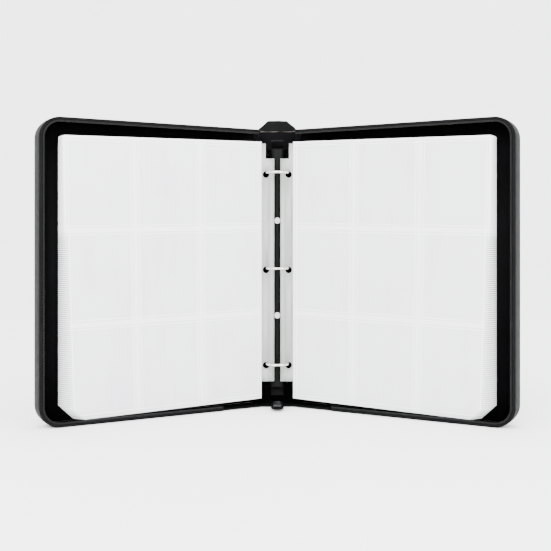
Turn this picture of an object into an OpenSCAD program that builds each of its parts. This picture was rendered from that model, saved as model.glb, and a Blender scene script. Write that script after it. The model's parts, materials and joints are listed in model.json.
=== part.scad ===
// Zip-around ring album for coins: two padded covers and a spine, a three-ring
// mechanism and twelve clear leaves of nine pockets each.
// The album stands on its lower edge. X runs from the left cover to the right,
// -Y is the side that it opens to, Z is up. The origin is on the ground, in the
// middle of the spine's board.

/* [Album] */
// Height of the album over its zip walls
album_h = 313; // [305:1:380]
// Width of a cover, from its fold to its outer edge
cover_w = 252; // [251:0.5:310]
// Distance between the two folds of the spine
spine_w = 50; // [48:1:60]
// Angle of each cover from lying flat
cover_angle = 28; // [14:1:50]
// Radius of the covers' outer corners
corner_r = 21.5; // [12:0.5:22]
// Depth of the zip wall in front of the lining
wall_depth = 21.2; // [14:0.2:21.2]
// Thickness of the zip wall
wall_t = 2; // [1.6:0.1:2.6]

/* [Cover layers] */
// Thickness of the outer skin
skin_t = 1; // [0.6:0.1:1.4]
// Thickness of the stiffener board
board_t = 2.4; // [1.6:0.1:3]
// Thickness of the inner lining
lining_t = 0.8; // [0.4:0.1:1]

/* [Zip] */
// Distance from the fold to where the zip starts on the lower wall
zip_start = 52; // [50:1:90]
// Width of the zip coil across the wall
coil_w = 2; // [1.4:0.1:2.4]
// Thickness of the zip tape
tape_t = 0.6; // [0.4:0.1:0.8]
// Width of the zip's pull
pull_w = 7; // [5:0.5:9]
// Length of the zip's pull
pull_l = 22; // [14:1:30]

/* [Rings] */
// Radius of a ring at the middle of its wire
ring_r = 12; // [11.5:0.5:14]
// Diameter of the ring wire
wire_d = 3; // [2.4:0.1:3.2]
// Distance between neighbouring rings
ring_pitch = 108; // [80:0.5:115]
// Distance of the rings' centres in front of the spine lining
ring_stand = 16.5; // [16.5:0.5:18]
// Length of the ring rail
rail_l = 270; // [250:1:285]
// Width of the ring rail
rail_w = 24; // [23:0.5:26]
// Height of the rail's crown above the lining
rail_h = 9; // [8:0.5:9]
// Thickness of the rail's steel
rail_t = 1; // [0.8:0.1:1.2]

/* [Leaves] */
// Width of a leaf with its punched strip
leaf_w = 239.5; // [210:0.5:241]
// Height of a leaf
leaf_h = 290; // [280:1:292]
// Width of the punched strip
strip_w = 14; // [13:0.5:20]
// Distance that the strip is shorter than the leaf at each end
strip_notch = 19; // [10:1:24]
// Distance that a leaf's lower outer corner is cut off by
leaf_cut = 15; // [8:0.5:20]
// Diameter of a punched hole
hole_d = 8.5; // [8:0.1:9]
// Distance from a hole's centre to the leaf's inner edge
hole_edge = 9.2; // [6:0.1:9.4]
// Thickness of the punched strip and the welds
film_t = 0.3; // [0.2:0.05:0.3]
// Thickness of a pocket
pocket_t = 0.5; // [0.35:0.05:0.5]
// Angle between one leaf and the next
leaf_fan = 0.45; // [0.4:0.05:0.5]
// Slope of the leaves' upper and lower edges, down towards the outer edge
leaf_sag = 1.2; // [0:0.1:1.2]

/* [Hidden] */
$fn = 64;
eps = 0.01;
LEAVES = 6;

// The covers and the spine are three layers thick. A fold's centre lies in the middle of them.
stack_t = skin_t + board_t + lining_t;
fold_r = stack_t / 2;
fold_x = spine_w / 2;
fold_y = fold_r;
fold_gap = 0.3;
edge_x = fold_r + fold_gap;
wall_start = 4;

// Depths on a cover are counted from its fold towards the inside.
skin_d = fold_r - skin_t;
lining_d = fold_r - lining_t;
wall_d = fold_r + wall_depth;
tape_inset = 0.3;
coil_inset = wall_t + 1.4;
coil_d = 1.8;
coil_back = 0.4;
zip_head = 8;

ring_z = album_h / 2;
ring_places = [ring_z - ring_pitch, ring_z, ring_z + ring_pitch];
wire_r = wire_d / 2;
leg_r = wire_r - 0.1;

// The rail is an arc that stands on the lining at both its edges.
rail_r = (rail_w * rail_w / 4 + rail_h * rail_h) / (2 * rail_h);
rail_y = rail_r - rail_h;
rail_z0 = ring_z - rail_l / 2;
rail_z1 = ring_z + rail_l / 2;
rivet_r = 2;
rivet_run = 0.05;
rivet_z = ring_pitch / 2;
rivet_head_r = 3.6;
rivet_head_t = 1;
rivet_tail_r = 4;
rivet_tail_t = 0.8;
flange_t = 2;

// The blades turn about their outer edges, and the ring halves stand on them.
blade_x = 9.5;
blade_gap = 0.2;
blade_t = 1;
blade_y = 2.1;
blade_l = rail_l - 19;
leg_angle = 120;
leg_l = 14;
leg_lap = 0.4;
tip_gap = 0.05;
slot_x0 = 5.4;
slot_x1 = 11.2;
slot_h = wire_d + 1.2;

lever_z = rail_l / 2 - 6;
lever_y = 3.2;
lever_w = 14;
lever_hub_r = 2.2;
lever_pin_r = 1;
lever_pin_run = 0.05;
lever_t = 1.6;
lever_arm = 8;
lever_tab = 12;
lever_bend = 50;
toe_l = 4.5;
toe_w = 3;
toe_t = 0.7;
toe_y = 1.9;
toe_lap = 0.5;

gusset_head_h = 12.4;
gusset_head_top = 22;
gusset_t = 3.8;
foot_z = wall_t + 0.4;
foot_t = 1.2;
foot_w = 14;
foot_reach = 46;
tail_w = 3.2;
tail_h = 1.6;
tail_y0 = 8;
tail_y1 = 43;
slider_w = 9;
slider_l = 12;
slider_y = 34;
slider_wall = 1.2;
slider_gap = 0.3;
slider_z0 = foot_z + foot_t + slider_gap;
slider_z1 = foot_z + foot_t + tail_h + slider_gap + slider_wall;
bail_r = 0.6;
bail_run = 0.08;
post_x0 = 2.2;
post_x1 = 3.2;
post_l = 2;
post_top = 0.9;
pull_t = 1.2;
pull_z = slider_z1 + 1.5;
knuckle_r = 1.2;
knuckle_w = 3.6;
neck_l = 5;

// A strip hangs on the rings with its holes a little low and a little outwards.
hang_z = 2;
hang_out = 1;
strip_angle = 4;
leaf_gap = 0.6;
leaf_front = 1;
crease_step = 0.7;
crease_gap = 0.1;
// The front leaf turns by itself, so it stands off its crease.
front_gap = 1.2;
// The rearmost leaf leans a little further forwards than its cover.
leaf_angle = cover_angle - 2.2;
leaf_body_w = leaf_w - strip_w;
leaf_slope = tan(leaf_sag);
leaf_r = 5;
weld_w = 2.2;
pocket_top = 5;

// placing

// Mirrors a piece made for the right-hand side
module on_side(side) {
    mirror([side < 0 ? 1 : 0, 0, 0]) children();
}

// Puts a piece on a cover: x runs outwards from the fold, -y towards the inside
module on_cover(side) {
    on_side(side)
        translate([fold_x, fold_y, 0])
            rotate([0, 0, -cover_angle])
                children();
}

// A flat layer from depth d0 to depth d1, drawn with x outwards and y up
module layer(d0, d1) {
    translate([0, -d0, 0])
        rotate([90, 0, 0])
            linear_extrude(d1 - d0)
                children();
}

// A cover's outline, drawn inside the edge by inset, from x0 to the outer edge
module cover_outline(inset, x0) {
    r = corner_r - inset;
    x1 = cover_w - inset;
    h = album_h - 2 * inset;
    translate([x0, inset])
        square([x1 - r - x0, h]);
    translate([x1 - r - eps, corner_r])
        square([r + eps, album_h - 2 * corner_r]);
    for (z = [corner_r, album_h - corner_r])
        translate([x1 - r, z])
            circle(r, $fn = 96);
}

// A band that follows three sides of a cover between two insets
module cover_band(inset0, inset1, x0) {
    difference() {
        cover_outline(inset0, x0);
        cover_outline(inset1, x0 - 1);
    }
}

// covers

module cover_skin(side) {
    color([0.07, 0.07, 0.07])
        on_cover(side)
            layer(-fold_r, -skin_d)
                cover_outline(0, edge_x);
}

module cover_board(side) {
    color([0.35, 0.32, 0.28])
        on_cover(side)
            layer(-skin_d, lining_d)
                cover_outline(wall_t, edge_x);
}

module cover_lining(side) {
    color([0.05, 0.05, 0.05])
        on_cover(side)
            layer(lining_d, fold_r)
                cover_outline(wall_t, edge_x);
}

module zip_wall(side) {
    color([0.06, 0.06, 0.06])
        on_cover(side)
            layer(-skin_d, wall_d)
                cover_band(0, wall_t, wall_start);
}

// The zip starts further from the fold on the lower wall than on the upper one.
module zip_side() {
    difference() {
        children();
        translate([-1, -1])
            square([zip_start + 1, album_h / 2]);
    }
}

module zip_tape(side) {
    color([0.1, 0.1, 0.1])
        on_cover(side)
            layer(wall_d, wall_d + tape_t)
                zip_side()
                    cover_band(tape_inset, coil_inset, zip_head);
}

module zip_coil(side) {
    color([0.2, 0.2, 0.2])
        on_cover(side)
            layer(wall_d - coil_back, wall_d - coil_back + coil_d)
                zip_side()
                    cover_band(coil_inset, coil_inset + coil_w, zip_head);
}

// spine

module spine_layer(y0, y1) {
    difference() {
        translate([edge_x - fold_x, y0, 0])
            cube([spine_w - 2 * edge_x, y1 - y0, album_h]);
        for (z = [-rivet_z, rivet_z])
            translate([0, y0 - 1, ring_z + z])
                rotate([-90, 0, 0])
                    cylinder(h = y1 - y0 + 2, r = rivet_r + rivet_run);
    }
}

module spine_skin() {
    color([0.07, 0.07, 0.07])
        spine_layer(stack_t - skin_t, stack_t);
}

module spine_board() {
    color([0.35, 0.32, 0.28])
        spine_layer(lining_t, stack_t - skin_t);
}

module spine_lining() {
    color([0.05, 0.05, 0.05])
        spine_layer(0, lining_t);
}

// A round fold, with a flange against the edge of the spine board
module fold(side) {
    color([0.06, 0.06, 0.06])
        on_side(side) {
            translate([fold_x, fold_y, 0])
                cylinder(h = album_h, r = fold_r);
            translate([fold_x - edge_x, fold_y - flange_t / 2, 0])
                cube([edge_x, flange_t, album_h]);
        }
}

// The web over the head of the spine stands up in a flat-topped peak.
module head_gusset() {
    color([0.08, 0.08, 0.08])
        translate([0, (stack_t + gusset_t) / 2, album_h])
            rotate([90, 0, 0])
                linear_extrude(gusset_t)
                    polygon([
                        [-fold_x, 0], [fold_x, 0],
                        [gusset_head_top / 2, gusset_head_h],
                        [-gusset_head_top / 2, gusset_head_h]
                    ]);
}

// The web at the foot lies flat above the lower walls and carries the zip's tail.
module foot_gusset() {
    color([0.08, 0.08, 0.08]) {
        translate([0, 0, foot_z]) {
            translate([-foot_w / 2, foot_w / 2 - foot_reach, 0])
                cube([foot_w, foot_reach - foot_w / 2, foot_t]);
            translate([0, foot_w / 2 - foot_reach, 0])
                cylinder(h = foot_t, r = foot_w / 2);
        }
        translate([-tail_w / 2, -tail_y1, foot_z + foot_t])
            cube([tail_w, tail_y1 - tail_y0, tail_h]);
    }
}

module zip_slider() {
    color([0.3, 0.3, 0.3])
        translate([0, -slider_y, 0]) {
            difference() {
                translate([-slider_w / 2, -slider_l / 2, slider_z0])
                    cube([slider_w, slider_l, slider_z1 - slider_z0]);
                translate([-tail_w / 2 - slider_gap, -slider_l, slider_z0 - 1])
                    cube([tail_w + 2 * slider_gap, 2 * slider_l, tail_h + 1]);
            }
            // two posts hold the bail that the pull turns on
            for (x = [-post_x1, post_x0])
                translate([x, -post_l / 2, slider_z1 - slider_gap])
                    cube([post_x1 - post_x0, post_l, pull_z + post_top - slider_z1 + slider_gap]);
            translate([-post_x0 - slider_gap, 0, pull_z])
                rotate([0, 90, 0])
                    cylinder(h = 2 * (post_x0 + slider_gap), r = bail_r);
        }
}

module zip_pull() {
    color([0.3, 0.3, 0.3])
        translate([0, -slider_y, pull_z]) {
            difference() {
                union() {
                    translate([-knuckle_w / 2, 0, 0])
                        rotate([0, 90, 0])
                            cylinder(h = knuckle_w, r = knuckle_r);
                    translate([-knuckle_w / 2, -neck_l - 1, -pull_t / 2])
                        cube([knuckle_w, neck_l + 1, pull_t]);
                    translate([-pull_w / 2, -pull_l + pull_w / 2, -pull_t / 2])
                        cube([pull_w, pull_l - pull_w / 2 - neck_l, pull_t]);
                    translate([0, -pull_l + pull_w / 2, -pull_t / 2])
                        cylinder(h = pull_t, r = pull_w / 2);
                }
                translate([0, -pull_l + pull_w / 2, -pull_t])
                    cylinder(h = 2 * pull_t, r = pull_w / 4);
                translate([-pull_w, 0, 0])
                    rotate([0, 90, 0])
                        cylinder(h = 2 * pull_w, r = bail_r + bail_run);
            }
        }
}

// ring mechanism

module rail_arc(r) {
    translate([0, rail_y])
        circle(r, $fn = 128);
}

module ring_rail() {
    color([0.08, 0.08, 0.09])
        difference() {
            translate([0, 0, rail_z0])
                linear_extrude(rail_l)
                    difference() {
                        rail_arc(rail_r);
                        rail_arc(rail_r - rail_t);
                        translate([-rail_r, 0])
                            square([2 * rail_r, 2 * rail_r]);
                    }
            for (side = [-1, 1], z = ring_places)
                on_side(side)
                    translate([slot_x0, -rail_h - 1, z - slot_h / 2])
                        cube([slot_x1 - slot_x0, rail_h + 1, slot_h]);
            for (z = [-rivet_z, rivet_z])
                translate([0, -rail_h - 1, ring_z + z])
                    rotate([-90, 0, 0])
                        cylinder(h = 4, r = rivet_r + rivet_run);
            for (z = [-lever_z, lever_z])
                translate([-rail_w, -lever_y, ring_z + z])
                    rotate([0, 90, 0])
                        cylinder(h = 2 * rail_w, r = lever_pin_r + lever_pin_run);
        }
}

module rail_rivets() {
    color([0.7, 0.7, 0.7])
        for (z = [-rivet_z, rivet_z])
            translate([0, 0, ring_z + z])
                rotate([-90, 0, 0]) {
                    translate([0, 0, -rail_h])
                        cylinder(h = rail_h + stack_t, r = rivet_r);
                    translate([0, 0, -rail_h - rivet_head_t])
                        cylinder(h = rivet_head_t, r = rivet_head_r);
                    translate([0, 0, stack_t])
                        cylinder(h = rivet_tail_t, r = rivet_tail_r);
                }
}

module lever_pins() {
    color([0.7, 0.7, 0.7])
        for (z = [-lever_z, lever_z])
            translate([-rail_w / 2, -lever_y, ring_z + z])
                rotate([0, 90, 0])
                    cylinder(h = rail_w, r = lever_pin_r);
}

module blade(side) {
    color([0.6, 0.6, 0.6])
        on_side(side)
            difference() {
                translate([blade_gap, -blade_y - blade_t / 2, ring_z - blade_l / 2])
                    cube([blade_x - blade_gap, blade_t, blade_l]);
                for (z = [-rivet_z, rivet_z])
                    translate([-1, -blade_y - 1, ring_z + z - rivet_r - 1])
                        cube([rivet_r + 2, 2, 2 * rivet_r + 2]);
            }
}

// Half of a ring, from its tip in the middle to its foot on the blade
module ring_half(side, z) {
    color([0.8, 0.8, 0.82])
        on_side(side)
            translate([0, 0, z])
                difference() {
                    translate([0, -ring_stand, 0]) {
                        rotate([0, 0, -90])
                            rotate_extrude(angle = leg_angle)
                                translate([ring_r, 0])
                                    circle(wire_r, $fn = 32);
                        rotate([0, 0, leg_angle - 90])
                            translate([ring_r, -leg_lap, 0])
                                rotate([-90, 0, 0])
                                    cylinder(h = leg_l + leg_lap, r = leg_r);
                    }
                    translate([-rail_w, -blade_y - blade_t / 2, -wire_d])
                        cube([2 * rail_w, 2 * rail_w, 2 * wire_d]);
                    // the tips meet with a hair's gap
                    translate([-1, -2 * rail_w, -wire_d])
                        cube([1 + tip_gap, 2 * rail_w, 2 * wire_d]);
                }
}

// The side view of a trigger's plate: straight up from the pin, then bent forwards
module lever_plate() {
    t = lever_t / 2;
    miter = t * tan(lever_bend / 2);
    along = [-sin(lever_bend), cos(lever_bend)] * lever_tab;
    across = [cos(lever_bend), sin(lever_bend)] * t;
    tip = [0, lever_arm] + along;
    polygon([
        [-t, 0], [t, 0], [t, lever_arm + miter],
        tip + across, tip - across, [-t, lever_arm - miter]
    ]);
}

// A trigger: a hub on its pin, a toe under the blades and a bent finger tab
module lever(up) {
    color([0.1, 0.1, 0.1])
        translate([0, -lever_y, ring_z + up * lever_z])
            mirror([0, 0, up < 0 ? 1 : 0])
                difference() {
                    union() {
                        translate([-lever_w / 2, 0, 0])
                            rotate([0, 90, 0])
                                cylinder(h = lever_w, r = lever_hub_r);
                        translate([-lever_w / 2, 0, 0])
                            rotate([90, 0, 90])
                                linear_extrude(lever_w)
                                    lever_plate();
                        translate([-toe_w / 2, toe_y, -toe_l])
                            cube([toe_w, toe_t, toe_l + toe_lap]);
                    }
                    translate([-lever_w, 0, 0])
                        rotate([0, 90, 0])
                            cylinder(h = 2 * lever_w, r = lever_pin_r + lever_pin_run);
                }
}

// leaves
// Leaf 1 lies next to the cover, leaf LEAVES is in front. Each is a punched strip on
// the rings and a body with nine pockets, which bends forwards at a crease.

function offset_of(n) = leaf_front + leaf_gap * (LEAVES - n);
function reach_of(n) = sqrt(ring_r * ring_r - pow(offset_of(n), 2)) + hang_out;
function crease_of(n) = strip_w - hole_edge + crease_step * (LEAVES - n);

// Puts a piece at leaf n's holes: x outwards along its strip, z up from the middle hole
module at_holes(side, n) {
    on_side(side)
        translate([0, -ring_stand, ring_z - hang_z])
            rotate([0, 0, -strip_angle])
                translate([reach_of(n), offset_of(n), 0])
                    children();
}

module strip(side, n) {
    color([0.86, 0.9, 0.9, 0.6])
        at_holes(side, n)
            layer(-film_t, 0)
                difference() {
                    translate([-hole_edge, strip_notch - leaf_h / 2])
                        square([hole_edge + crease_of(n), leaf_h - 2 * strip_notch]);
                    for (y = [-ring_pitch, 0, ring_pitch])
                        translate([0, y])
                            circle(hole_d / 2);
                }
}

// A leaf's body drawn from its crease, with x outwards and y up from the middle
module leaf_outline(x0) {
    w = leaf_body_w;
    drop = leaf_slope * w;
    top = leaf_h / 2 - drop - leaf_r;
    polygon([
        [x0, -leaf_h / 2],
        [w - leaf_cut, -leaf_h / 2 - leaf_slope * (w - leaf_cut)],
        [w, leaf_cut - leaf_h / 2 - drop],
        [w, top],
        [w - leaf_r, top + leaf_r],
        [x0, leaf_h / 2]
    ]);
    translate([w - leaf_r, top])
        circle(leaf_r);
}

// The lower pocket by the outer edge ends short of the cut corner.
module leaf_pockets() {
    step_x = leaf_body_w / 3;
    step_y = leaf_h / 3;
    for (column = [0:2], row = [0:2]) {
        x0 = column * step_x + weld_w;
        x1 = (column + 1) * step_x - weld_w;
        y0 = row * step_y - leaf_h / 2 + weld_w;
        y1 = (row + 1) * step_y - leaf_h / 2 - pocket_top;
        cut = column == 2 && row == 0 ? leaf_cut - weld_w : 0;
        polygon([
            [x0, y0 - leaf_slope * x0],
            [x1 - cut, y0 - leaf_slope * x1],
            [x1, y0 + cut - leaf_slope * x1],
            [x1, y1 - leaf_slope * x1],
            [x0, y1 - leaf_slope * x0]
        ]);
    }
}

module leaf(side, n) {
    color([0.9, 0.92, 0.95, 0.6])
        at_holes(side, n)
            translate([crease_of(n), 0, 0])
                rotate([0, 0, strip_angle - leaf_angle - leaf_fan * (n - 1)]) {
                    layer(-film_t, 0)
                        leaf_outline(n == LEAVES ? front_gap : crease_gap);
                    layer(0, pocket_t - film_t)
                        leaf_pockets();
                }
}

// The solids are drawn from the lining's front face, and then moved so that the origin
// lies in the board.
translate([0, -lining_t - board_t / 2, 0]) {
    spine_skin();
    spine_board();
    spine_lining();
    fold(-1);  // left_fold
    fold(1);  // right_fold
    head_gusset();
    foot_gusset();
    ring_rail();
    rail_rivets();
    lever_pins();
    cover_skin(-1);  // left_cover_skin
    cover_board(-1);  // left_cover_board
    cover_lining(-1);  // left_cover_lining
    zip_wall(-1);  // left_zip_wall
    zip_tape(-1);  // left_zip_tape
    zip_coil(-1);  // left_zip_coil
    cover_skin(1);  // right_cover_skin
    cover_board(1);  // right_cover_board
    cover_lining(1);  // right_cover_lining
    zip_wall(1);  // right_zip_wall
    zip_tape(1);  // right_zip_tape
    zip_coil(1);  // right_zip_coil
    blade(-1);  // left_blade
    ring_half(-1, ring_places[0]);  // left_ring_bottom
    ring_half(-1, ring_places[1]);  // left_ring_middle
    ring_half(-1, ring_places[2]);  // left_ring_top
    blade(1);  // right_blade
    ring_half(1, ring_places[0]);  // right_ring_bottom
    ring_half(1, ring_places[1]);  // right_ring_middle
    ring_half(1, ring_places[2]);  // right_ring_top
    lever(1);  // head_lever
    lever(-1);  // foot_lever
    zip_slider();
    zip_pull();
    strip(-1, 1);  // left_strip_1
    strip(-1, 2);  // left_strip_2
    strip(-1, 3);  // left_strip_3
    strip(-1, 4);  // left_strip_4
    strip(-1, 5);  // left_strip_5
    strip(-1, 6);  // left_strip_6
    strip(1, 1);  // right_strip_1
    strip(1, 2);  // right_strip_2
    strip(1, 3);  // right_strip_3
    strip(1, 4);  // right_strip_4
    strip(1, 5);  // right_strip_5
    strip(1, 6);  // right_strip_6
    leaf(-1, 1);  // left_leaf_1
    leaf(-1, 2);  // left_leaf_2
    leaf(-1, 3);  // left_leaf_3
    leaf(-1, 4);  // left_leaf_4
    leaf(-1, 5);  // left_leaf_5
    leaf(-1, 6);  // left_leaf_6
    leaf(1, 1);  // right_leaf_1
    leaf(1, 2);  // right_leaf_2
    leaf(1, 3);  // right_leaf_3
    leaf(1, 4);  // right_leaf_4
    leaf(1, 5);  // right_leaf_5
    leaf(1, 6);  // right_leaf_6
}
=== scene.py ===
import json
import math

import bmesh
import bpy
from mathutils import Matrix, Vector, noise


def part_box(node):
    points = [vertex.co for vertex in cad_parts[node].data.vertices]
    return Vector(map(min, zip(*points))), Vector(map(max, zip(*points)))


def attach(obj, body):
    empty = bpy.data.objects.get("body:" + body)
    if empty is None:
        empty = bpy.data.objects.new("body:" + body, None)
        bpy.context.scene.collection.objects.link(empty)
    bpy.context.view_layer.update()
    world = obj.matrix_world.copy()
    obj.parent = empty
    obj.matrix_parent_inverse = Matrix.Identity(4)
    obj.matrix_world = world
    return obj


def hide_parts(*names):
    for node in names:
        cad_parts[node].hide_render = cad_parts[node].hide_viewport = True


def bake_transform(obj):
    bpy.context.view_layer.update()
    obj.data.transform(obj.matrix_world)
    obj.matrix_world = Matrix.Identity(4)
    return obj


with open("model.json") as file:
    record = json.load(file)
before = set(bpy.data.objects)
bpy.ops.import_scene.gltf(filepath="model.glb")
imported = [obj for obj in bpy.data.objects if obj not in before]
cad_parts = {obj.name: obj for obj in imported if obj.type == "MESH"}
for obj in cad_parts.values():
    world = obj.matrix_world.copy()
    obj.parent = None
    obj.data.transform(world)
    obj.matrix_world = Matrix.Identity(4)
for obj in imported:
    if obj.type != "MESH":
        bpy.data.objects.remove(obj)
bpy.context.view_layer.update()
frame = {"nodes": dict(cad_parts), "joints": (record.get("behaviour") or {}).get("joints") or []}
print("frame loaded")

mm = .001
sides = {"left": -1, "right": 1}
joints = {joint["name"]: joint for joint in frame["joints"]}
foldAt = Vector(joints["right_cover_fold"]["pos_m"])      # line that the right cover turns about
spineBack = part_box("spine_skin")[1].y                     # the spine's outer face
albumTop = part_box("right_fold")[1].z
ringMid = albumTop / 2

album = {
    "coverAngle": 28,       # degrees from lying flat
    "width": 252 * mm,      # a cover, from its fold
    "corner": 21.5 * mm,
    "back": 2.1 * mm,       # the outer skin lies this far behind the fold's line
    "gap": 2.4 * mm,        # where a cover's layers start
}


def coverPlace(side):
    # x runs outwards from the fold and -y into the album
    turned = Matrix.Rotation(-math.radians(album["coverAngle"]), 4, "Z")
    return Matrix.Scale(side, 4, (1, 0, 0)) @ Matrix.Translation(foldAt) @ turned


def makePiece(name, bm, surfaces, body=None, place=None, sharp=35):
    if place is not None:
        bmesh.ops.transform(bm, matrix=place, verts=bm.verts)
    bmesh.ops.remove_doubles(bm, verts=bm.verts, dist=.002 * mm)
    bmesh.ops.recalc_face_normals(bm, faces=bm.faces)
    mesh = bpy.data.meshes.new(name)
    bm.to_mesh(mesh)
    bm.free()
    for surface in surfaces:
        mesh.materials.append(surface)
    mesh.shade_smooth()
    mesh.set_sharp_from_angle(angle=math.radians(sharp))
    piece = bpy.data.objects.new(name, mesh)
    bpy.context.scene.collection.objects.link(piece)
    if body:
        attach(piece, body)
    return piece


def fitTo(bm, low, high):
    # stretches what is drawn so far to a box; a flat direction only moves
    for axis in range(3):
        values = [v.co[axis] for v in bm.verts]
        least, most = min(values), max(values)
        for v in bm.verts:
            share = (v.co[axis] - least) / (most - least) if most - least > 1e-9 else 0
            v.co[axis] = low[axis] + share * (high[axis] - low[axis])


def pull(bm, edges, move, steps=1):
    # draws a row of edges out along a straight line
    for step in range(steps):
        drawn = bmesh.ops.extrude_edge_only(bm, edges=edges)["geom"]
        verts = [g for g in drawn if isinstance(g, bmesh.types.BMVert)]
        edges = [g for g in drawn if isinstance(g, bmesh.types.BMEdge)]
        bmesh.ops.translate(bm, verts=verts, vec=Vector(move) / steps)
    return edges


def turn(bm, edges, centre, axis, angle, steps):
    verts = list({v for e in edges for v in e.verts})
    spun = bmesh.ops.spin(bm, geom=verts + edges, cent=centre, axis=axis,
                          angle=angle, steps=steps, use_merge=False)
    return [g for g in spun["geom_last"] if isinstance(g, bmesh.types.BMEdge)]


def closeEnds(bm):
    rims = [e for e in bm.edges if e.is_boundary]
    bmesh.ops.holes_fill(bm, edges=rims, sides=0)


def bevelEdges(bm, edges, width, segments=2):
    bmesh.ops.bevel(bm, geom=edges, offset=width, offset_type="OFFSET", segments=segments,
                    profile=.5, affect="EDGES", material=-1, clamp_overlap=True)


def addModifier(piece, kind, **settings):
    modifier = piece.modifiers.new(kind.title(), kind)
    for key, value in settings.items():
        setattr(modifier, key, value)
    return modifier


def refine(node, name, body, surfaces, width, segments=2):
    # a CAD piece of the right shape, with its sharp edges broken
    bm = bmesh.new()
    bm.from_mesh(frame["nodes"][node].data)
    bmesh.ops.remove_doubles(bm, verts=bm.verts, dist=.005 * mm)
    bmesh.ops.dissolve_limit(bm, angle_limit=math.radians(1), verts=bm.verts, edges=bm.edges)
    piece = makePiece(name, bm, surfaces, body)
    addModifier(piece, "BEVEL", width=width, segments=segments, limit_method="ANGLE",
                angle_limit=math.radians(40), use_clamp_overlap=True)
    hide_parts(node)
    return piece


def cutAcross(bm, axis, step):
    # cuts a solid's faces into strips, so that its surface can move
    direction = Vector((0, 0, 0))
    direction[axis] = 1
    values = [v.co[axis] for v in bm.verts]
    least, most = min(values), max(values)
    for i in range(1, int((most - least) / step)):
        bmesh.ops.bisect_plane(bm, geom=bm.verts[:] + bm.edges[:] + bm.faces[:], dist=1e-7,
                               plane_co=direction * (least + i * step), plane_no=direction)


def sewnCopy(node, name, surfaces, roll, wrinkle):
    # a CAD solid as cloth: rolled edges and slight wrinkles
    bm = bmesh.new()
    bm.from_mesh(frame["nodes"][node].data)
    bmesh.ops.remove_doubles(bm, verts=bm.verts, dist=.005 * mm)
    bmesh.ops.dissolve_limit(bm, angle_limit=math.radians(1), verts=bm.verts, edges=bm.edges)
    bmesh.ops.recalc_face_normals(bm, faces=bm.faces)
    base = min(v.co.z for v in bm.verts)
    sharp = [e for e in bm.edges if e.calc_face_angle(0) > math.radians(30)
             and max(v.co.z for v in e.verts) > base + roll]
    bevelEdges(bm, sharp, roll, 3)
    for axis in range(3):
        cutAcross(bm, axis, 2.5 * mm)
    bm.normal_update()
    for v in bm.verts:
        v.co += v.normal * wrinkle * noise.noise(v.co / (7 * mm))
    piece = makePiece(name, bm, surfaces, "spine", None, 50)
    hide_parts(node)
    return piece


def newSurface(name):
    made = bpy.data.materials.new(name)
    made.use_nodes = True
    return made, made.node_tree, made.node_tree.nodes["Principled BSDF"]


def addNode(tree, kind, sockets=(), **settings):
    made = tree.nodes.new(kind)
    for key, value in settings.items():
        setattr(made, key, value)
    for key, value in dict(sockets).items():
        if isinstance(value, bpy.types.NodeSocket):
            tree.links.new(value, made.inputs[key])
        else:
            made.inputs[key].default_value = value
    return made


def maths(tree, operation, a, b=0., clamp=False):
    return addNode(tree, "ShaderNodeMath", {0: a, 1: b}, operation=operation,
                   use_clamp=clamp).outputs[0]


def rampBetween(tree, value, stops):
    ramp = addNode(tree, "ShaderNodeValToRGB", {"Fac": value})
    marks = ramp.color_ramp.elements
    while len(marks) < len(stops):
        marks.new(.5)
    for mark, (place, color) in zip(marks, stops):
        mark.position = place
        mark.color = (*color, 1)
    return ramp.outputs["Color"]


def placed(tree, turned=0., size=(1, 1, 1)):
    coords = addNode(tree, "ShaderNodeTexCoord")
    return addNode(tree, "ShaderNodeMapping",
                   {"Vector": coords.outputs["Object"], "Scale": size,
                    "Rotation": (0, 0, math.radians(turned))}).outputs["Vector"]


def wave(tree, vector, direction, period):
    return addNode(tree, "ShaderNodeTexWave",
                   {"Vector": vector, "Scale": math.tau / 20 / period, "Distortion": 0.},
                   wave_type="BANDS", bands_direction=direction).outputs["Fac"]


def cloud(tree, vector, size, detail=2., rough=.5):
    return addNode(tree, "ShaderNodeTexNoise",
                   {"Vector": vector, "Scale": 1 / size, "Detail": detail,
                    "Roughness": rough}).outputs["Fac"]


def bumped(tree, shader, height, depth, strength=1.):
    bump = addNode(tree, "ShaderNodeBump",
                   {"Height": height, "Distance": depth, "Strength": strength})
    tree.links.new(bump.outputs["Normal"], shader.inputs["Normal"])


def clothSurface(name, dark, light, thread, turned, roughness, depth):
    # a plain weave: threads show as waves along all three directions
    made, tree, shader = newSurface(name)
    vector = placed(tree, turned)
    threads = maths(tree, "ADD", wave(tree, vector, "X", thread), wave(tree, vector, "Y", thread))
    threads = maths(tree, "ADD", threads, wave(tree, vector, "Z", thread))
    worn = cloud(tree, vector, 40 * mm, 4.)
    fine = cloud(tree, vector, 1.5 * mm, 2.)
    tone = maths(tree, "MULTIPLY", worn, fine)
    tone = maths(tree, "ADD", maths(tree, "MULTIPLY", tone, 1.6),
                 maths(tree, "MULTIPLY", threads, .12), True)
    color = rampBetween(tree, tone, [(.25, dark), (.95, light)])
    tree.links.new(color, shader.inputs["Base Color"])
    rough = maths(tree, "ADD", maths(tree, "MULTIPLY", fine, .16), roughness - .08)
    tree.links.new(rough, shader.inputs["Roughness"])
    shader.inputs["Specular IOR Level"].default_value = .03
    height = maths(tree, "ADD", threads, maths(tree, "MULTIPLY", worn, 3.))
    bumped(tree, shader, height, depth, .6)
    return made


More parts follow.
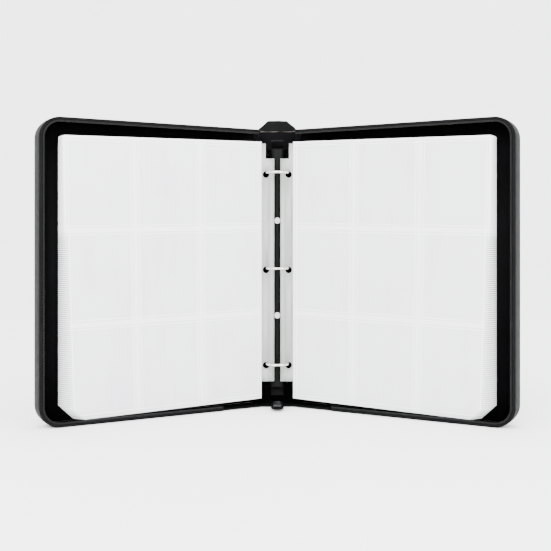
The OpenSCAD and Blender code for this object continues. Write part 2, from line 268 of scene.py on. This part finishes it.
def metalSurface(name, color, roughness, metallic, grain=.06, coat=0.):
    made, tree, shader = newSurface(name)
    vector = placed(tree)
    brushed = cloud(tree, placed(tree, 0, (1, 1, .08)), .5 * mm, 3.)
    spots = cloud(tree, vector, 12 * mm, 4.)
    tone = maths(tree, "ADD", maths(tree, "MULTIPLY", brushed, .5),
                 maths(tree, "MULTIPLY", spots, .5))
    shade = [tuple(c * k for c in color) for k in (.78, 1.12)]
    tree.links.new(rampBetween(tree, tone, [(.3, shade[0]), (.7, shade[1])]),
                   shader.inputs["Base Color"])
    rough = maths(tree, "ADD", maths(tree, "MULTIPLY", tone, 2 * grain), roughness - grain)
    tree.links.new(rough, shader.inputs["Roughness"])
    shader.inputs["Metallic"].default_value = metallic
    shader.inputs["Coat Weight"].default_value = coat
    shader.inputs["Coat Roughness"].default_value = .12
    shader.inputs["Specular IOR Level"].default_value = .5 if metallic else .08
    bumped(tree, shader, spots, .05 * mm, .35)
    return made


leafLook = {
    "stepX": 225.5 / 3 * mm,    # a pocket and its weld, across
    "stepZ": 290 / 3 * mm,
    "height": 290 * mm,
    "end": 225.5 * mm,
    "weld": 2.2 * mm,           # half of a weld's width
    "ridge": 4.6 * mm,          # from a weld's middle to the ridges beside it
    "margin": 3.4 * mm,         # the outer weld
    "knurlTop": 48 * mm,        # the outer weld is knurled up to this height over the middle hole
    "lip": 5 * mm,              # a pocket's mouth lies this far below its weld
    "rib": 2.1 * mm,
}


def leafSurface(name, pocketAlpha, weldAlpha):
    # clear film: reads the leaf's own flat map, in metres from its crease and its middle hole
    made, tree, shader = newSurface(name)
    flat = addNode(tree, "ShaderNodeUVMap", uv_map="flat").outputs["UV"]
    split = addNode(tree, "ShaderNodeSeparateXYZ", {"Vector": flat}).outputs
    up = maths(tree, "ADD", split["Y"], leafLook["height"] / 2)

    def nearLine(value, step, half, soft=.5 * mm):
        away = maths(tree, "PINGPONG", value, step / 2)
        return addNode(tree, "ShaderNodeMapRange",
                       {"Value": away, "From Min": half, "From Max": half + soft,
                        "To Min": 1., "To Max": 0.}).outputs["Result"]

    def beside(value, step, away):
        # two thin ridges, one on each side of a weld
        off = maths(tree, "SUBTRACT", maths(tree, "PINGPONG", value, step / 2), away)
        return addNode(tree, "ShaderNodeMapRange",
                       {"Value": maths(tree, "ABSOLUTE", off), "From Min": .3 * mm,
                        "From Max": .8 * mm, "To Min": 1., "To Max": 0.}).outputs["Result"]

    columns = nearLine(split["X"], leafLook["stepX"], leafLook["weld"])
    columns = maths(tree, "MAXIMUM", maths(tree, "MULTIPLY", columns, .6),
                    beside(split["X"], leafLook["stepX"], leafLook["ridge"]))
    rows = nearLine(up, leafLook["stepZ"], leafLook["weld"])
    edge = addNode(tree, "ShaderNodeMapRange",
                   {"Value": split["X"], "From Min": leafLook["end"] - leafLook["margin"],
                    "From Max": leafLook["end"] - leafLook["margin"] + .4 * mm,
                    "To Min": 0., "To Max": 1.}).outputs["Result"]
    rows = maths(tree, "MAXIMUM", maths(tree, "MULTIPLY", rows, .7),
                 beside(up, leafLook["stepZ"], leafLook["ridge"]))
    knurled = addNode(tree, "ShaderNodeMapRange",
                      {"Value": split["Y"], "From Min": leafLook["knurlTop"] - 10 * mm,
                       "From Max": leafLook["knurlTop"], "To Min": 1., "To Max": 0.})
    edge = maths(tree, "MULTIPLY", edge, knurled.outputs["Result"])
    lips = nearLine(maths(tree, "ADD", up, leafLook["lip"]), leafLook["stepZ"], .25 * mm, .35 * mm)
    welds = maths(tree, "MAXIMUM", columns, rows)
    ribs = addNode(tree, "ShaderNodeTexWave",
                   {"Vector": flat, "Scale": math.tau / 20 / leafLook["rib"]},
                   wave_type="BANDS", bands_direction="Y").outputs["Fac"]
    fineRibs = addNode(tree, "ShaderNodeTexWave",
                       {"Vector": flat, "Scale": math.tau / 20 / (1.1 * mm)},
                       wave_type="BANDS", bands_direction="DIAGONAL").outputs["Fac"]
    vector = placed(tree)
    tint = cloud(tree, vector, 55 * mm, 2.)
    # tall, vertically stretched noise paints whitish vertical streaks into the film's colour: a
    # painted highlight standing for glare on the film; it also ripples the bump below
    tall = cloud(tree, placed(tree, 0, (1, 1, .12)), 9 * mm, 3.)
    tintAndPaintedGlare = maths(tree, "ADD", maths(tree, "MULTIPLY", tint, .5), maths(tree, "MULTIPLY", tall, .5))
    # faint lilac and green tints of the film, with the painted highlight streaks lightening it
    # towards white between them
    film = rampBetween(tree, tintAndPaintedGlare, [(.32, (.80, .79, .86)), (.5, (.86, .87, .88)),
                                     (.68, (.83, .87, .85))])
    white = addNode(tree, "ShaderNodeMix", {"Factor": maths(tree, "MAXIMUM", welds, lips),
                                            "A": film, "B": (.93, .93, .95, 1)},
                    data_type="RGBA")
    color = white.outputs["Result"]
    edgeShade = addNode(tree, "ShaderNodeMix",
                        {"Factor": maths(tree, "MULTIPLY", edge, ribs), "A": color,
                         "B": (.42, .42, .45, 1)}, data_type="RGBA").outputs["Result"]
    tree.links.new(edgeShade, shader.inputs["Base Color"])
    clear = maths(tree, "ADD", maths(tree, "MULTIPLY", welds, weldAlpha - pocketAlpha), pocketAlpha)
    clear = maths(tree, "SUBTRACT", clear,
                  maths(tree, "MULTIPLY", maths(tree, "MULTIPLY", edge, ribs), .35), True)
    tree.links.new(clear, shader.inputs["Alpha"])
    rough = maths(tree, "ADD", maths(tree, "MULTIPLY", welds, .2), .16)
    tree.links.new(rough, shader.inputs["Roughness"])
    shader.inputs["Specular IOR Level"].default_value = .45
    height = maths(tree, "SUBTRACT", maths(tree, "MULTIPLY", tall, .5),
                   maths(tree, "MULTIPLY", welds, 1.))
    height = maths(tree, "ADD", height,
                   maths(tree, "MULTIPLY", maths(tree, "MULTIPLY", welds, fineRibs), .25))
    height = maths(tree, "ADD", height, lips)
    bumped(tree, shader, height, .35 * mm, .55)
    return made


def stripSurface(name):
    made, tree, shader = newSurface(name)
    tall = cloud(tree, placed(tree, 0, (1, 1, .1)), 6 * mm, 3.)
    tree.links.new(rampBetween(tree, tall, [(.3, (.34, .36, .34)), (.7, (.47, .49, .47))]),
                   shader.inputs["Base Color"])
    shader.inputs["Alpha"].default_value = .55
    shader.inputs["Roughness"].default_value = .22
    bumped(tree, shader, tall, .2 * mm, .4)
    return made


surfaces = {
    "cloth": clothSurface("wovenCloth", (.0008, .0012, .0011), (.0034, .0044, .0040),
                          1.1 * mm, 0, .5, .10 * mm),
    "clothRight": clothSurface("wovenClothRight", (.0008, .0012, .0011), (.0034, .0044, .0040),
                               1.1 * mm, 28, .5, .10 * mm),
    "clothLeft": clothSurface("wovenClothLeft", (.0008, .0012, .0011), (.0034, .0044, .0040),
                              1.1 * mm, -28, .5, .10 * mm),
    "lining": clothSurface("liningCloth", (.0007, .0006, .0008), (.0028, .0025, .0031),
                           .6 * mm, 0, .62, .04 * mm),
    "tape": clothSurface("zipTapeCloth", (.0012, .0012, .0014), (.005, .005, .0056),
                         .8 * mm, 45, .6, .12 * mm),
    "thread": clothSurface("sewingThread", (.004, .004, .0045), (.016, .016, .017),
                           .3 * mm, 30, .5, .05 * mm),
    "board": clothSurface("greyBoard", (.25, .23, .2), (.36, .33, .29), .9 * mm, 0, .85, .03 * mm),
    "coil": metalSurface("nylonCoil", (.009, .009, .009), .36, 0.),
    "paint": metalSurface("blackPaint", (.0013, .0013, .0016), .42, 0., .05),
    "steel": metalSurface("platedSteel", (.5, .5, .5), .3, 1.),
    "nickel": metalSurface("brightNickel", (.72, .71, .69), .14, 1., .04),
    "zipMetal": metalSurface("darkZipMetal", (.008, .008, .0095), .4, .35),
    "film": leafSurface("clearFilm", .66, .86),
    "stripFilm": stripSurface("stripFilm"),
}
print("surfaces ready")


rim = {
    "lowerStart": 4 * mm,
    "upperStart": 4 * mm,
    "zipLower": 52 * mm,    # the zip starts further out along the foot
    "zipUpper": 8 * mm,
    "cornerSteps": 14,
}

# the wall's section as (distance in from the outline, depth towards the inside), in mm
wallSection = [
    (7, -1.3), (6.6, -1.9), (5.9, -2.1), (3.4, -2.1), (1.9, -1.85), (.9, -1.1), (.4, .3),
    (.15, 4), (0, 9), (0, 13), (.15, 18), (.4, 21.4), (.95, 22.7), (1.6, 23.25),
    (2.05, 22.9), (2.1, 20), (2.0, 12), (2.05, 4), (2.2, 2.3), (2.2, -.9), (7, -.9),
]
tapeSection = [(.35, 23.3), (.3, 23.65), (.45, 23.9), (3.3, 23.9), (3.75, 23.65), (3.7, 23.35),
               (2, 23.25)]
coreSection = [(4.0, 23.1), (4.4, 22.95), (4.8, 23.1), (4.95, 23.6), (4.8, 24.1), (4.4, 24.25),
               (4.0, 24.1), (3.85, 23.6)]


def sweepRim(bm, section, startLower, startUpper):
    # carries a section along the foot, round both outer corners and back along the head
    outer, corner = album["width"], album["corner"]
    verts = [bm.verts.new((startLower, -depth * mm, inset * mm)) for inset, depth in section]
    edges = [bm.edges.new((a, b)) for a, b in zip(verts, verts[1:] + verts[:1])]
    edges = pull(bm, edges, (outer - corner - startLower, 0, 0), 8)
    edges = turn(bm, edges, (outer - corner, 0, corner), (0, -1, 0), math.pi / 2,
                 rim["cornerSteps"])
    edges = pull(bm, edges, (0, 0, albumTop - 2 * corner), 10)
    edges = turn(bm, edges, (outer - corner, 0, albumTop - corner), (0, -1, 0), math.pi / 2,
                 rim["cornerSteps"])
    pull(bm, edges, (startUpper + corner - outer, 0, 0), 8)
    closeEnds(bm)


def rimWalk(inset, startLower, startUpper, step):
    # evenly spaced places along the rim, each with its heading
    outer, corner = album["width"], album["corner"]
    r = corner - inset
    runs = [outer - corner - startLower, r * math.pi / 2, albumTop - 2 * corner,
            r * math.pi / 2, outer - corner - startUpper]
    count = int(sum(runs) / step)
    for i in range(count + 1):
        s = i * sum(runs) / count
        for part, run in enumerate(runs):
            if s <= run or part == 4:
                break
            s -= run
        if part == 0:
            yield startLower + s, inset, 0
        elif part == 1:
            a = s / r
            yield outer - corner + r * math.sin(a), corner - r * math.cos(a), a
        elif part == 2:
            yield outer - inset, corner + s, math.pi / 2
        elif part == 3:
            a = s / r
            yield (outer - corner + r * math.cos(a), albumTop - corner + r * math.sin(a),
                   math.pi / 2 + a)
        else:
            yield outer - corner - s, albumTop - inset, math.pi


def addBars(bm, places, size, depth, bevel):
    # small bars on a walk: size is along, into the wall, across
    for x, z, heading in places:
        spot = Matrix.Translation((x, -depth, z)) @ Matrix.Rotation(-heading, 4, "Y")
        bmesh.ops.create_cube(bm, size=1, matrix=spot @ Matrix.Diagonal((*size, 1)))
    bevelEdges(bm, bm.edges[:], bevel, 1)


def roundedSheet(bm, low, high, corners, y, radius, segments=12):
    # a flat sheet across x and z, with some of its corners rounded
    bmesh.ops.create_grid(bm, x_segments=1, y_segments=1, size=.5)
    bmesh.ops.rotate(bm, verts=bm.verts, cent=(0, 0, 0), matrix=Matrix.Rotation(math.pi / 2, 3, "X"))
    fitTo(bm, (low[0], y, low[1]), (high[0], y, high[1]))
    bm.verts.ensure_lookup_table()
    chosen = [v for v in bm.verts if corners(v.co)]
    bmesh.ops.bevel(bm, geom=chosen, offset=radius, offset_type="OFFSET", segments=segments,
                    profile=.5, affect="VERTICES", material=-1)


def puffSheet(bm, steps, out):
    # each step pulls the sheet in by some and lifts it towards out
    face = bm.faces[:]
    for inwards, lift in steps:
        bmesh.ops.inset_region(bm, faces=face, thickness=inwards, use_even_offset=True)
        verts = {v for f in face for v in f.verts}
        bmesh.ops.translate(bm, verts=list(verts), vec=(0, out * lift, 0))


liningSheet = {
    "seam": 2.5 * mm,       # the lining's edge, inside the wall
    "thick": .5 * mm,
    "steps": [(.5 * mm, .2 * mm), (1.5 * mm, .25 * mm), (5 * mm, .15 * mm)],
}

coverPad = {
    "seam": 6.2 * mm,       # the seam's distance from the outline
    "steps": [(.5 * mm, .35 * mm), (1.2 * mm, .45 * mm), (3 * mm, .4 * mm), (8 * mm, .3 * mm)],
    "stitch": (2.6 * mm, .35 * mm, .5 * mm),
    "stitchStep": 3.8 * mm,
}

for label, side in sides.items():
    body = label + "_cover"
    cloth = surfaces["clothRight" if side > 0 else "clothLeft"]
    place = coverPlace(side)

    bm = bmesh.new()
    sweepRim(bm, wallSection, rim["lowerStart"], rim["upperStart"])
    wall = makePiece(label + "ZipWall", bm, [cloth], body, place, 50)
    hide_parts(label + "_zip_wall")

    bm = bmesh.new()
    roundedSheet(bm, (album["gap"], coverPad["seam"]),
                 (album["width"] - coverPad["seam"], albumTop - coverPad["seam"]),
                 lambda co: co.x > album["width"] / 2, album["back"] - .5 * mm,
                 album["corner"] - coverPad["seam"])
    puffSheet(bm, coverPad["steps"], 1)
    pad = makePiece(label + "CoverPad", bm, [cloth], body, place, 60)
    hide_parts(label + "_cover_skin")

    bm = bmesh.new()
    addBars(bm, rimWalk(4.6 * mm, 8 * mm, 8 * mm, coverPad["stitchStep"]), coverPad["stitch"],
            -album["back"] - .02 * mm, .12 * mm)
    makePiece(label + "BackStitches", bm, [surfaces["thread"]], body, place)

    bm = bmesh.new()
    sweepRim(bm, tapeSection, rim["zipLower"], rim["zipUpper"])
    tape = makePiece(label + "ZipTape", bm, [surfaces["tape"]], body, place, 60)
    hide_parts(label + "_zip_tape")

    bm = bmesh.new()
    addBars(bm, rimWalk(1.9 * mm, rim["zipLower"] + 2 * mm, rim["zipUpper"] + 2 * mm, 3.2 * mm),
            (2.2 * mm, .3 * mm, .4 * mm), 23.93 * mm, .1 * mm)
    makePiece(label + "TapeStitches", bm, [surfaces["thread"]], body, place)

    bm = bmesh.new()
    addBars(bm, rimWalk(4.4 * mm, rim["zipLower"], rim["zipUpper"], 1.5 * mm),
            (.85 * mm, 1.7 * mm, 2.1 * mm), 23.75 * mm, .28 * mm)
    sweepRim(bm, coreSection, rim["zipLower"], rim["zipUpper"])
    coil = makePiece(label + "ZipCoil", bm, [surfaces["coil"]], body, place)
    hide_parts(label + "_zip_coil")

    bm = bmesh.new()
    edge = liningSheet["seam"]
    roundedSheet(bm, (album["gap"], edge), (album["width"] - edge, albumTop - edge),
                 lambda co: co.x > album["width"] / 2, liningSheet["thick"] - 1.7 * mm,
                 album["corner"] - edge)
    puffSheet(bm, liningSheet["steps"], -1)
    inside = makePiece(label + "CoverLining", bm, [surfaces["lining"]], body, place, 60)
    addModifier(inside, "SOLIDIFY", thickness=liningSheet["thick"], offset=0)
    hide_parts(label + "_cover_lining")
    frame["nodes"][label + "_cover_board"].material_slots[0].material = surfaces["board"]
print("covers ready")


bm = bmesh.new()
roundedSheet(bm, (-foldAt.x + album["gap"], 0), (foldAt.x - album["gap"], albumTop),
             lambda co: False, spineBack, 0)
puffSheet(bm, [(2 * mm, .1 * mm), (2 * mm, .5 * mm), (3 * mm, .3 * mm)], 1)
spinePad = makePiece("spinePad", bm, [surfaces["cloth"]], "spine", None, 60)
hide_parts("spine_skin")

bm = bmesh.new()
roundedSheet(bm, (-foldAt.x + album["gap"], .4 * mm),
             (foldAt.x - album["gap"], albumTop - .4 * mm), lambda co: False,
             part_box("spine_lining")[0].y + .8 * mm, 0)
puffSheet(bm, liningSheet["steps"], -1)
spineInside = makePiece("spineLining", bm, [surfaces["lining"]], "spine", None, 60)
addModifier(spineInside, "SOLIDIFY", thickness=liningSheet["thick"], offset=0)
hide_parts("spine_lining")

hinge = {"tail": 5 * mm, "thick": .5 * mm, "proud": .3 * mm, "bends": 6, "rows": 14}

for label, side in sides.items():
    for face, outwards in (("Outer", 1), ("Inner", -1)):
        bm = bmesh.new()
        r = album["back"] + hinge["proud"]
        start = bm.verts.new((foldAt.x - hinge["tail"], foldAt.y + outwards * r, .3 * mm))
        top = bm.verts.new((foldAt.x, foldAt.y + outwards * r, .3 * mm))
        edges = [bm.edges.new((start, top))]
        # the cloth follows the fold's roll, then lies along the cover
        for step in range(1, hinge["bends"] + 1):
            a = math.radians(album["coverAngle"]) * step / hinge["bends"]
            along = Vector((math.sin(a), math.cos(a), 0)) * r * outwards
            new = bm.verts.new((foldAt.x + along.x, foldAt.y + along.y, .3 * mm))
            edges.append(bm.edges.new((top, new)))
            top = new
        a = math.radians(album["coverAngle"])
        end = bm.verts.new(top.co + Vector((math.cos(a), -math.sin(a), 0)) * hinge["tail"])
        edges.append(bm.edges.new((top, end)))
        pull(bm, edges, (0, 0, albumTop - .6 * mm), hinge["rows"])
        mirrored = Matrix.Scale(side, 4, (1, 0, 0))
        skin = surfaces["cloth"] if outwards > 0 else surfaces["lining"]
        strip = makePiece(label + "Hinge" + face, bm, [skin], None, mirrored, 60)
        addModifier(strip, "SOLIDIFY", thickness=hinge["thick"], offset=0)
        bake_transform(strip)
        if outwards > 0:
            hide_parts(label + "_fold")
for node, look in (("spine_board", "board"), ("ring_rail", "paint"),
                   ("left_blade", "steel"), ("right_blade", "steel")):
    frame["nodes"][node].material_slots[0].material = surfaces[look]

web = {
    "roll": 1 * mm, "wrinkle": .5 * mm,
    "stitch": (1.9 * mm, .35 * mm, .4 * mm), "stitchStep": 2.9 * mm, "stitchCount": 15,
    "inner": 6.4 * mm,          # a foot web's edge, under the tongue
    "back": 2.6 * mm, "front": 21.6 * mm,
    "outerBack": 29 * mm, "outerFront": 18.6 * mm,
    "level": 1.05 * mm, "thick": .8 * mm, "fold": 8 * mm,
}
sewnCopy("head_gusset", "headWeb", [surfaces["cloth"]], web["roll"], web["wrinkle"])
sewnCopy("foot_gusset", "footTongue", [surfaces["cloth"]], .35 * mm, .15 * mm)

bm = bmesh.new()
middle = (web["stitchCount"] - 1) / 2
addBars(bm, [((i - middle) * web["stitchStep"], albumTop + 1.4 * mm, 0)
             for i in range(web["stitchCount"])],
        web["stitch"], -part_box("head_gusset")[0].y + .1 * mm, .1 * mm)
makePiece("headStitches", bm, [surfaces["thread"]], "spine")

for label, side in sides.items():
    # the loose cloth at the foot, from the tongue to the end of the cover's wall
    bm = bmesh.new()
    bmesh.ops.create_grid(bm, x_segments=14, y_segments=12, size=.5)
    for v in bm.verts:
        across, along = v.co.x + .5, v.co.y + .5
        outer = web["outerBack"] + along * (web["outerFront"] - web["outerBack"])
        v.co.x = web["inner"] + across * (outer - web["inner"])
        v.co.y = -web["back"] - along * (web["front"] - web["back"])
        v.co.z = web["level"] + .25 * mm * noise.noise(v.co / (6 * mm))
    # the band along the wall's end where it would bend is worked out here, but the cloth is not bent
    wallEnd = Vector((web["outerBack"] - web["outerFront"], web["front"] - web["back"], 0))
    outwards = wallEnd.normalized().cross(Vector((0, 0, 1)))
    end = Vector((web["outerBack"], -web["back"], web["level"]))
    start = end - outwards * web["fold"]
    piece = makePiece(label + "FootWeb", bm, [surfaces["cloth"]], None,
                      Matrix.Scale(side, 4, (1, 0, 0)), 60)
    addModifier(piece, "SOLIDIFY", thickness=web["thick"], offset=0)
    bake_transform(piece)
refine("rail_rivets", "railRivets", "spine", [surfaces["steel"]], .35 * mm, 3)
refine("lever_pins", "leverPins", "spine", [surfaces["paint"]], .25 * mm, 2)
print("spine ready")


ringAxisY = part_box("right_ring_middle")[0].y + 13.5 * mm
ring = {"radius": 12 * mm, "wire": 1.5 * mm, "arc": 120, "leg": 9.1 * mm, "pitch": 108 * mm,
        "tip": .05 * mm}

for label, side in sides.items():
    for name, level in (("bottom", -1), ("middle", 0), ("top", 1)):
        bm = bmesh.new()
        middle = Vector((0, ringAxisY, ringMid + level * ring["pitch"]))
        bmesh.ops.create_circle(bm, cap_ends=False, segments=20, radius=ring["wire"],
                                matrix=Matrix.Translation(middle - Vector((0, ring["radius"], 0)))
                                @ Matrix.Rotation(math.pi / 2, 4, "Y"))
        first = bm.edges[:]
        # the tip narrows to a small step that meets the other half
        edges = turn(bm, first, middle, (0, 0, 1), math.radians(ring["arc"]), 30)
        a = math.radians(ring["arc"] - 90)
        pull(bm, edges, Vector((-math.sin(a), math.cos(a), 0)) * ring["leg"], 4)
        closeEnds(bm)
        for v in bm.verts:
            if v.co.x < ring["tip"]:
                v.co.x = ring["tip"]
        half = makePiece(label + "Ring" + name.title(), bm, [surfaces["nickel"]],
                         label + "_jaw", Matrix.Scale(side, 4, (1, 0, 0)), 50)
        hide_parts(label + "_ring_" + name)

for end in ("head", "foot"):
    refine(end + "_lever", end + "Lever", end + "_lever", [surfaces["paint"]],
           .35 * mm, 3)
refine("zip_slider", "zipSlider", "zip_slider", [surfaces["zipMetal"]], .4 * mm, 3)
refine("zip_pull", "zipPull", "zip_pull", [surfaces["zipMetal"]], .3 * mm, 3)
print("rings ready")


leaf = {
    "count": 6,
    "low": 2 * mm,            # the holes hang this far below the rings
    "angle": 25.8, "fan": .45,  # the rearmost leaf, and from one leaf to the next
    "slope": math.tan(math.radians(1.2)),
    "cut": 15 * mm,             # the lower outer corner
    "round": 2 * mm,            # the upper outer corner
    "start": .1 * mm,           # from the crease
    "columns": 60, "rows": 81,
    "puff": .45 * mm, "ripple": .3 * mm,
    "waves": (45, 3.7, 8),      # a ripple's pace across, from leaf to leaf and upwards
    "gather": 8 * mm,
    "gatherFrom": .62,          # a share of the height over the middle hole
}
strip = {
    "angle": 4,
    "end": 126 * mm,
    "shoulder": 4.6 * mm, "shoulderTop": 143 * mm,
    "hole": 3.8 * mm, "holePitch": 108 * mm, "edge": 9.2 * mm, "toCrease": 4.8 * mm,
    "step": .7 * mm,            # each strip is this much wider than the one in front
    "front": .15 * mm, "thick": .3 * mm,
}


def creasePlace(side, n, angle):
    # x runs outwards from the leaf's crease, z up from the middle hole
    at = Vector(joints["right_leaf_%d_turn" % n]["pos_m"])
    return (Matrix.Scale(side, 4, (1, 0, 0))
            @ Matrix.Translation((at.x, at.y, ringMid - leaf["low"]))
            @ Matrix.Rotation(-math.radians(angle), 4, "Z"))


def mapFlat(bm):
    flat = bm.loops.layers.uv.new("flat")
    for face in bm.faces:
        for loop in face.loops:
            loop[flat].uv = (loop.vert.co.x, loop.vert.co.z)


def intoPocket(x, z):
    # 0 on a weld and 1 in the middle of a pocket
    u = (x / leafLook["stepX"]) % 1
    v = ((z + leafLook["height"] / 2) / leafLook["stepZ"]) % 1
    return math.sqrt(max(0, math.sin(math.pi * u) * math.sin(math.pi * v)))


for label, side in sides.items():
    for n in range(1, leaf["count"] + 1):
        # the body: a grid whose outer corners are trimmed
        bm = bmesh.new()
        bmesh.ops.create_grid(bm, x_segments=leaf["columns"], y_segments=leaf["rows"], size=.5)
        bmesh.ops.rotate(bm, verts=bm.verts, cent=(0, 0, 0),
                         matrix=Matrix.Rotation(math.pi / 2, 3, "X"))
        half = leafLook["height"] / 2
        wide = leafLook["end"]
        fitTo(bm, (leaf["start"], 0, -half), (wide, 0, half))
        bmesh.ops.bisect_plane(bm, geom=bm.verts[:] + bm.edges[:] + bm.faces[:], dist=1e-7,
                               plane_co=(wide - leaf["cut"], 0, -half), plane_no=(1, 0, -1),
                               clear_outer=True)
        bm.verts.ensure_lookup_table()
        corner = [v for v in bm.verts if v.co.x > wide - 1e-6 and v.co.z > half - 1e-6]
        bmesh.ops.bevel(bm, geom=corner, offset=leaf["round"], offset_type="OFFSET", segments=4,
                        profile=.5, affect="VERTICES", material=-1)
        mapFlat(bm)
        # film puffs a little in each pocket and ripples; the front leaves gather at their foot
        gather = leaf["gather"] * ((n - 1) / (leaf["count"] - 1)) ** 1.5
        for v in bm.verts:
            x, z = v.co.x, v.co.z
            far = x / wide
            low = max(0, leaf["gatherFrom"] - z / leafLook["height"]) / (leaf["gatherFrom"] + .5)
            wavy = noise.noise(Vector((x * leaf["waves"][0], n * leaf["waves"][1] + side,
                                       z * leaf["waves"][2])))
            v.co.y -= leaf["puff"] * intoPocket(x, z) * (.35 + .65 * far)
            v.co.y -= leaf["ripple"] * wavy * intoPocket(x, z)
            v.co.x -= gather * far * low ** 1.5
            v.co.z -= leaf["slope"] * x
        place = creasePlace(side, n, leaf["angle"] + leaf["fan"] * (n - 1))
        body = makePiece("%sLeaf%d" % (label, n), bm, [surfaces["film"]],
                         "%s_leaf_%d" % (label, n), place, 80)
        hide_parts("%s_leaf_%d" % (label, n))

        # the punched strip, filled between its outline and its three holes
        bm = bmesh.new()
        toHole = strip["toCrease"] + strip["step"] * (leaf["count"] - n)
        inner = -toHole - strip["edge"]
        outline = [bm.verts.new((x, strip["front"], z)) for x, z in (
            (inner, -strip["end"]), (leaf["start"], -strip["end"]),
            (leaf["start"], strip["shoulderTop"]),
            (-strip["shoulder"], strip["shoulderTop"]), (-strip["shoulder"], strip["end"]),
            (inner, strip["end"]))]
        loops = [bm.edges.new((a, b)) for a, b in zip(outline, outline[1:] + outline[:1])]
        for level in (-1, 0, 1):
            spot = Matrix.Translation((-toHole, strip["front"], level * strip["holePitch"]))
            made = bmesh.ops.create_circle(bm, cap_ends=False, segments=28, radius=strip["hole"],
                                           matrix=spot @ Matrix.Rotation(math.pi / 2, 4, "X"))
            loops += list({e for v in made["verts"] for e in v.link_edges})
        bmesh.ops.triangle_fill(bm, edges=loops, use_beauty=True)
        mapFlat(bm)
        piece = makePiece("%sStrip%d" % (label, n), bm, [surfaces["stripFilm"]],
                          "spine", creasePlace(side, n, strip["angle"]), 80)
        addModifier(piece, "SOLIDIFY", thickness=strip["thick"], offset=0)
        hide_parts("%s_strip_%d" % (label, n))
print("leaves ready")


bm = bmesh.new()
bmesh.ops.create_grid(bm, x_segments=1, y_segments=1, size=.5)
fitTo(bm, (-4, -3, 0), (4, 2.4, 0))
back = [e for e in bm.edges if all(v.co.y > 2 for v in e.verts)]
back = turn(bm, back, (0, 2.4, .8), (1, 0, 0), math.pi / 2, 12)
pull(bm, back, (0, 0, 2.5))
floorSurface, floorTree, floorShader = newSurface("paleFloor")
dust = cloud(floorTree, placed(floorTree), .3, 3.)
floorTree.links.new(rampBetween(floorTree, dust, [(.3, (.9, .9, .9)), (.7, (.93, .93, .93))]),
                    floorShader.inputs["Base Color"])
floorShader.inputs["Roughness"].default_value = .9
mesh = bpy.data.meshes.new("studioFloor")
bm.to_mesh(mesh)
bm.free()
mesh.materials.append(floorSurface)
mesh.shade_smooth()
studioFloor = bpy.data.objects.new("studioFloor", mesh)
bpy.context.scene.collection.objects.link(studioFloor)

world = bpy.data.worlds.new("softRoom")
bpy.context.scene.world = world
world.use_nodes = True
world.node_tree.nodes["Background"].inputs["Color"].default_value = (1, 1, 1, 1)
world.node_tree.nodes["Background"].inputs["Strength"].default_value = 4.4

studioLights = {
    "keyLight": {"at": (-.5, -1.6, 1.3), "size": 1.2, "power": 50},
    "fillLight": {"at": (1.1, -1.3, .8), "size": 1.0, "power": 25},
}
for name, settings in studioLights.items():
    lamp = bpy.data.lights.new(name, "AREA")
    lamp.energy = settings["power"]
    lamp.size = settings["size"]
    lampObject = bpy.data.objects.new(name, lamp)
    lampObject.location = settings["at"]
    lampObject.rotation_euler = (Vector((0, 0, ringMid)) - lampObject.location).to_track_quat(
        "-Z", "Y").to_euler()
    bpy.context.scene.collection.objects.link(lampObject)

view = {"at": (0, -1.002, .191), "lens": 56.8, "shiftX": -.0033, "shiftY": -.0686}
camera = bpy.data.cameras.new("albumCamera")
camera.lens = view["lens"]
camera.sensor_width = 36
camera.shift_x = view["shiftX"]
camera.shift_y = view["shiftY"]
cameraObject = bpy.data.objects.new("albumCamera", camera)
cameraObject.location = view["at"]
cameraObject.rotation_euler = (math.pi / 2, 0, 0)
bpy.context.scene.collection.objects.link(cameraObject)
bpy.context.scene.camera = cameraObject
print("studio ready")
